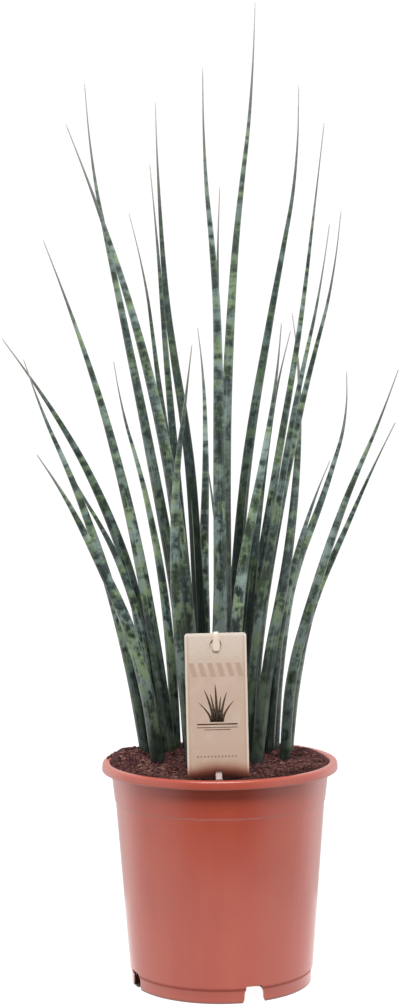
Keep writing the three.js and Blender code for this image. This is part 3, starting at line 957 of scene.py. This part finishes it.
def thread(mesh, ground, draw, spot):
    """A bent three-sided thread that rises a little from the soil. Gives back its corners' tints."""
    heading = draw.uniform(0, math.tau)
    bend = draw.uniform(-0.35, 0.35)
    length = draw.uniform(4, 11) * MM
    thickness = draw.uniform(0.14, 0.28) * MM
    tint = draw.random()
    place = spot.copy()
    rings = []
    for i in range(FIBRE_JOINTS):
        rise = math.sin(math.pi * i / (FIBRE_JOINTS - 1)) * draw.uniform(0.6, 1.6) * MM
        along = Vector((math.cos(heading), math.sin(heading), 0))
        side = Vector((-along.y, along.x, 0))
        middle = Vector((place.x, place.y, ground.height(place.x, place.y) + rise + 0.2 * MM))
        turns = [math.tau * k / 3 for k in range(3)]
        outs = [side * math.cos(turn) + Vector((0, 0, 1)) * math.sin(turn) for turn in turns]
        rings.append([mesh.verts.new(middle + out * thickness) for out in outs])
        place += along * length / (FIBRE_JOINTS - 1)
        heading += bend
    skin_rings(mesh, rings)
    mesh.faces.new(reversed(rings[0]))
    mesh.faces.new(rings[-1])
    return [tint] * (3 * FIBRE_JOINTS)


def scatter_fibres(ground, material):
    """Fine root hairs and coir."""
    draw = random.Random(11)
    mesh = bmesh.new()
    tints = []
    for spot in spots(ground, draw, FIBRES, 2 * MM, 9 * MM):
        tints += thread(mesh, ground, draw, spot)
    fibres = add_object("soil_fibres", mesh, material)
    set_values(fibres.data, "tint", tints)


def dress_soil():
    """The soil and what lies loose on it. Sizes are the least, the most and the usual, in millimetres."""
    ground = Ground()
    build_soil(ground, peat("peat_bed", "261416", "4a2a2b", "734748"))
    crumb = peat("peat_crumbs", "2a1617", "593637", "895c59")
    bark = peat("bark", "33201b", "624037", "93705f")

    draw = random.Random(3)
    places = spots(ground, draw, CRUMBS, FREE_OF_STEMS)
    scatter_crumbs("soil_crumbs", places, draw, (0.4, 1.9, 0.8), 0.8, crumb)
    draw = random.Random(4)
    places = spots_by_stems(ground, draw, COLLAR_CRUMBS)
    scatter_crumbs("soil_collars", places, draw, (0.9, 3.0, 1.6), 0.9, crumb)
    draw = random.Random(6)
    places = spots_on_rim(draw, SPILLED_CRUMBS)
    scatter_crumbs("soil_spill", places, draw, (0.4, 1.8, 0.7), 0.8, crumb)
    draw = random.Random(5)
    places = spots(ground, draw, BARK_BITS, FREE_OF_STEMS)
    scatter_crumbs("soil_bark", places, draw, (1.4, 3.4, 2.0), 0.35, bark)
    scatter_fibres(ground, peat("fibre", "5a3a30", "86604f", "b79a84"))


# ---------------------------------------------------------------- label

CARD_TURN = math.radians(-0.8)
CARD_WIDTH, CARD_HEIGHT = 42.5 * MM, 100 * MM
CARD_EASE = 0.16 * MM
# How far the print's back and front lie in front of the card's middle, in millimetres.
PRINT_DEPTH = (0.37, 0.46)
SPRIG_FOOT = 38.6  # how far up the card the drawn blades begin, in millimetres
# The hook and the leg as one bent strip, from the soil up, over the card and down into its slot. It is
# wider behind the slot. Each row is (out to the front, up, half width, thickness), in millimetres from the
# middle of the card's bottom edge.
STRIP = [
    (-1.5, -47, 1.8, 0.4),
    (-1.4, -38, 2.2, 1.4),
    (-1.4, 60, 2.2, 1.4),
    (-1.4, 83, 2.2, 1.4),
    (-1.4, 86, 4.1, 1.4),
    (-1.4, 96.6, 4.1, 1.4),
    (-1.4, 98.6, 1.8, 1.3),
    (-1.1, 100.1, 1.7, 1.1),
    (-0.5, 100.72, 1.6, 0.9),
    (0.4, 100.72, 1.6, 0.9),
    (1.0, 100.2, 1.65, 1.0),
    (1.3, 98.8, 1.75, 1.1),
    (1.3, 96.4, 2.0, 1.2),
    (1.3, 94, 2.45, 1.2),
    (1.3, 91.6, 2.65, 1.2),
    (1.25, 89.6, 2.5, 1.3),
    (1.1, 88.4, 1.9, 1.5),
    (1.0, 87.8, 1.1, 1.5),
]
STRIP_EASE = 0.25
STRIP_SHIFT = -0.4  # across, towards the right as one looks at the card


def card_frame():
    """Places a point given from the middle of the card's bottom edge: across, out to the front, up."""
    low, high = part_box("label_card")
    turn = Matrix.Rotation(CARD_TURN, 4, "Y") @ Matrix.Rotation(math.pi, 4, "Z")
    middle = Matrix.Translation((low + high) / 2)
    return middle @ turn @ Matrix.Translation((0, 0, -CARD_HEIGHT / 2))


def build_card(place):
    """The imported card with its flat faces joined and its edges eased."""
    mesh = welded("label_card")
    bmesh.ops.dissolve_limit(mesh, angle_limit=0.02, verts=mesh.verts, edges=mesh.edges)
    card = add_object("label_card_face", mesh, kraft())
    ease = card.modifiers.new("ease", "BEVEL")
    ease.width, ease.segments, ease.limit_method, ease.angle_limit = CARD_EASE, 3, "ANGLE", 0.6
    card.modifiers.new("flat", "WEIGHTED_NORMAL").weight = 100
    stand_for("label_card")
    back = place.inverted()
    local = [back @ vert.co for vert in card.data.vertices]
    set_values(card.data, "across", [p.x / CARD_WIDTH for p in local])
    set_values(card.data, "up", [p.z / CARD_HEIGHT for p in local])


def eased_corner(corner, along, through, along_first):
    """The two points that a sharp corner of the strip's section is cut back to."""
    points = [corner + along, corner + through]
    return points if along_first else points[::-1]


def build_stake(place):
    mesh = bmesh.new()
    rings = []
    for i, (out, up, half, thick) in enumerate(STRIP):
        before, after = STRIP[max(i - 1, 0)], STRIP[min(i + 1, len(STRIP) - 1)]
        ahead = Vector((0, after[0] - before[0], after[1] - before[1])).normalized()
        face = Vector((1, 0, 0)).cross(ahead)
        section = []
        for x, t in ((1, -1), (1, 1), (-1, 1), (-1, -1)):
            corner = Vector((STRIP_SHIFT + x * half, out, up)) + face * (t * thick / 2)
            along, through = Vector((-x * STRIP_EASE, 0, 0)), face * (-t * STRIP_EASE)
            section += eased_corner(corner, along, through, x * t > 0)
        rings.append([mesh.verts.new(place @ (point * MM)) for point in section])
    skin_rings(mesh, rings)
    mesh.faces.new(reversed(rings[0]))
    mesh.faces.new(rings[-1])
    stake = add_object("label_stake_hook", mesh, stake_plastic(), math.radians(40))
    stand_for("label_stake")


def print_shapes(place, name, outlines, material):
    """Closed flat shapes on the card's front, from outlines of (across, up) points in millimetres."""
    mesh = bmesh.new()
    for outline in outlines:
        back, front = (
            [mesh.verts.new(place @ (Vector((x, y, z)) * MM)) for x, z in outline] for y in PRINT_DEPTH
        )
        mesh.faces.new(back)
        mesh.faces.new(reversed(front))
        skin_rings(mesh, [back, front])
    shapes = add_object(name, mesh, material)
    shapes.data.shade_flat()


def bar(left, low, width, height, lean=0.0):
    """A rectangle that may lean to the right."""
    right, high = left + width, low + height
    return [(left, low), (right, low), (right + lean, high), (left + lean, high)]


def drawn_blade(foot, lean, height, half):
    """The outline of a slim blade that curves to one side and ends in a point."""
    steps = 10
    sides = []
    for side in (-1, 1):
        line = []
        for i in range(steps):
            t = i / steps
            width = half * (1 - t) ** 0.6
            line.append((foot + lean * t**1.7 + side * width, SPRIG_FOOT + height * t))
        sides.append(line)
    return sides[0] + [(foot + lean, SPRIG_FOOT + height)] + sides[1][::-1]


def sprig():
    """Seven blades that fan out from a ground line with two rules below it."""
    fan = [(-3.6, -8.6, 15, 1.1), (-2.5, -4.6, 21, 1.2), (-1.2, -1.6, 18, 1.1), (0.1, 0.9, 27, 1.3)]
    fan += [(1.4, 3.2, 20, 1.1), (2.7, 6.2, 23, 1.2), (3.9, 9.2, 14, 1.1)]
    blades = [drawn_blade(*blade) for blade in fan]
    rules = [bar(-14, 36.6, 28, 0.9), bar(-14, 34.6, 28, 0.45), bar(-9, 33, 18, 0.45)]
    return blades + rules


def printed_label(place):
    dark, faint = ink("dark_ink", "3b2c22", 0.95), ink("faint_ink", "b69a86", 0.6)
    print_shapes(place, "label_print_sprig", sprig(), dark)
    dots = [bar(-13.2 + 2.4 * i, 14, 1.3, 1.3) for i in range(12)]
    print_shapes(place, "label_print_dots", dots, ink("brown_ink", "8a7260", 0.75))
    stripes = [bar(-19 + 6.4 * i, 70, 3.4, 9.5, 2.6) for i in range(6)]
    print_shapes(place, "label_print_stripes", stripes, faint)


def build_label():
    place = card_frame()
    build_card(place)
    printed_label(place)
    build_stake(place)


# ---------------------------------------------------------------- light and floor

# How bright the studio's walls are on each side, as the object's gloss and shade see them.
WALL_SIDES = 1.0
WALL_BACK = 0.9
CEILING = 0.2
GROUND = 0.1
SOFTBOX_PLACE, SOFTBOX_AIM = Vector((0, -1.75, 2.6)), Vector((0, 0, 0.3))
SOFTBOX_SIZE = (2.0, 1.0)
SOFTBOX_POWER = 97
FLOOR_HALF, FLOOR_GLOW = 4, 0.97
SHEET_RADIUS, SHEET_GLOW = 0.25, 1.35
SHEET_DROP = 2 * MM
BACKDROP_RADIUS, BACKDROP_GLOW = 9, 1.0


def hang_softbox():
    lamp = bpy.data.lights.new("softbox", "AREA")
    lamp.shape, lamp.size, lamp.size_y = "RECTANGLE", *SOFTBOX_SIZE
    lamp.energy = SOFTBOX_POWER
    light = bpy.data.objects.new("softbox", lamp)
    light.location = SOFTBOX_PLACE
    light.rotation_mode = "QUATERNION"
    light.rotation_quaternion = (SOFTBOX_AIM - SOFTBOX_PLACE).to_track_quat("-Z", "Y")
    bpy.context.collection.objects.link(light)


def studio_world():
    """A studio's walls: bright at the sides and behind, dimmer overhead, and dark in front."""
    s = Shader("studio", "worlds")
    heading = s.add("TexCoord", out="Generated")
    x, y, z = (s.axis(heading, name) for name in "XYZ")
    walls = abs(x).step(0.35, 0.95) * WALL_SIDES + y.step(0, 0.8) * WALL_BACK
    glow = walls + z.step(0.2, 0.9) * CEILING + z.fall(-0.35, -0.05) * GROUND
    s.add("OutputWorld", {}, {0: s.add("Background", {}, {"Color": (1, 1, 1, 1), "Strength": glow})})
    return s.block


def light_scene():
    bpy.context.scene.world = studio_world()
    bpy.context.scene.view_settings.view_transform = "Standard"
    hang_softbox()


def add_stage(name, mesh, material, unseen_by):
    """Something that isn't part of the object, and that some rays of light pass through."""
    data = bpy.data.meshes.new(name)
    mesh.to_mesh(data)
    mesh.free()
    data.materials.append(material)
    thing = bpy.data.objects.new(name, data)
    bpy.context.collection.objects.link(thing)
    for ray in unseen_by:
        setattr(thing, f"visible_{ray}", False)


def lay_floor():
    mesh = bmesh.new()
    bmesh.ops.create_grid(mesh, x_segments=8, y_segments=8, size=FLOOR_HALF)
    white = glowing_white("floor_white", FLOOR_GLOW, "666666", painted_shade_under_pot=True)
    add_stage("floor", mesh, white, ("diffuse", "glossy"))


def lay_sheet():
    """A white sheet under the pot that only its gloss picks up."""
    mesh = bmesh.new()
    bmesh.ops.create_circle(mesh, cap_ends=True, segments=64, radius=SHEET_RADIUS)
    bmesh.ops.translate(mesh, verts=mesh.verts, vec=(0, 0, -SHEET_DROP))
    hidden = ("camera", "diffuse", "transmission", "volume_scatter", "shadow")
    add_stage("sheet", mesh, glowing_white("sheet_white", SHEET_GLOW, "6a6a6a"), hidden)


def hang_backdrop():
    """A white shell all round, for the camera alone."""
    mesh = bmesh.new()
    bmesh.ops.create_icosphere(mesh, subdivisions=3, radius=BACKDROP_RADIUS)
    hidden = ("diffuse", "glossy", "transmission", "volume_scatter", "shadow")
    add_stage("backdrop", mesh, glowing_white("backdrop_white", BACKDROP_GLOW, "6a6a6a"), hidden)


# ---------------------------------------------------------------- scene

place_camera()
light_scene()
lay_floor()
lay_sheet()
hang_backdrop()

grow_leaves()
build_pot(pot_plastic())
dress_soil()
build_label()
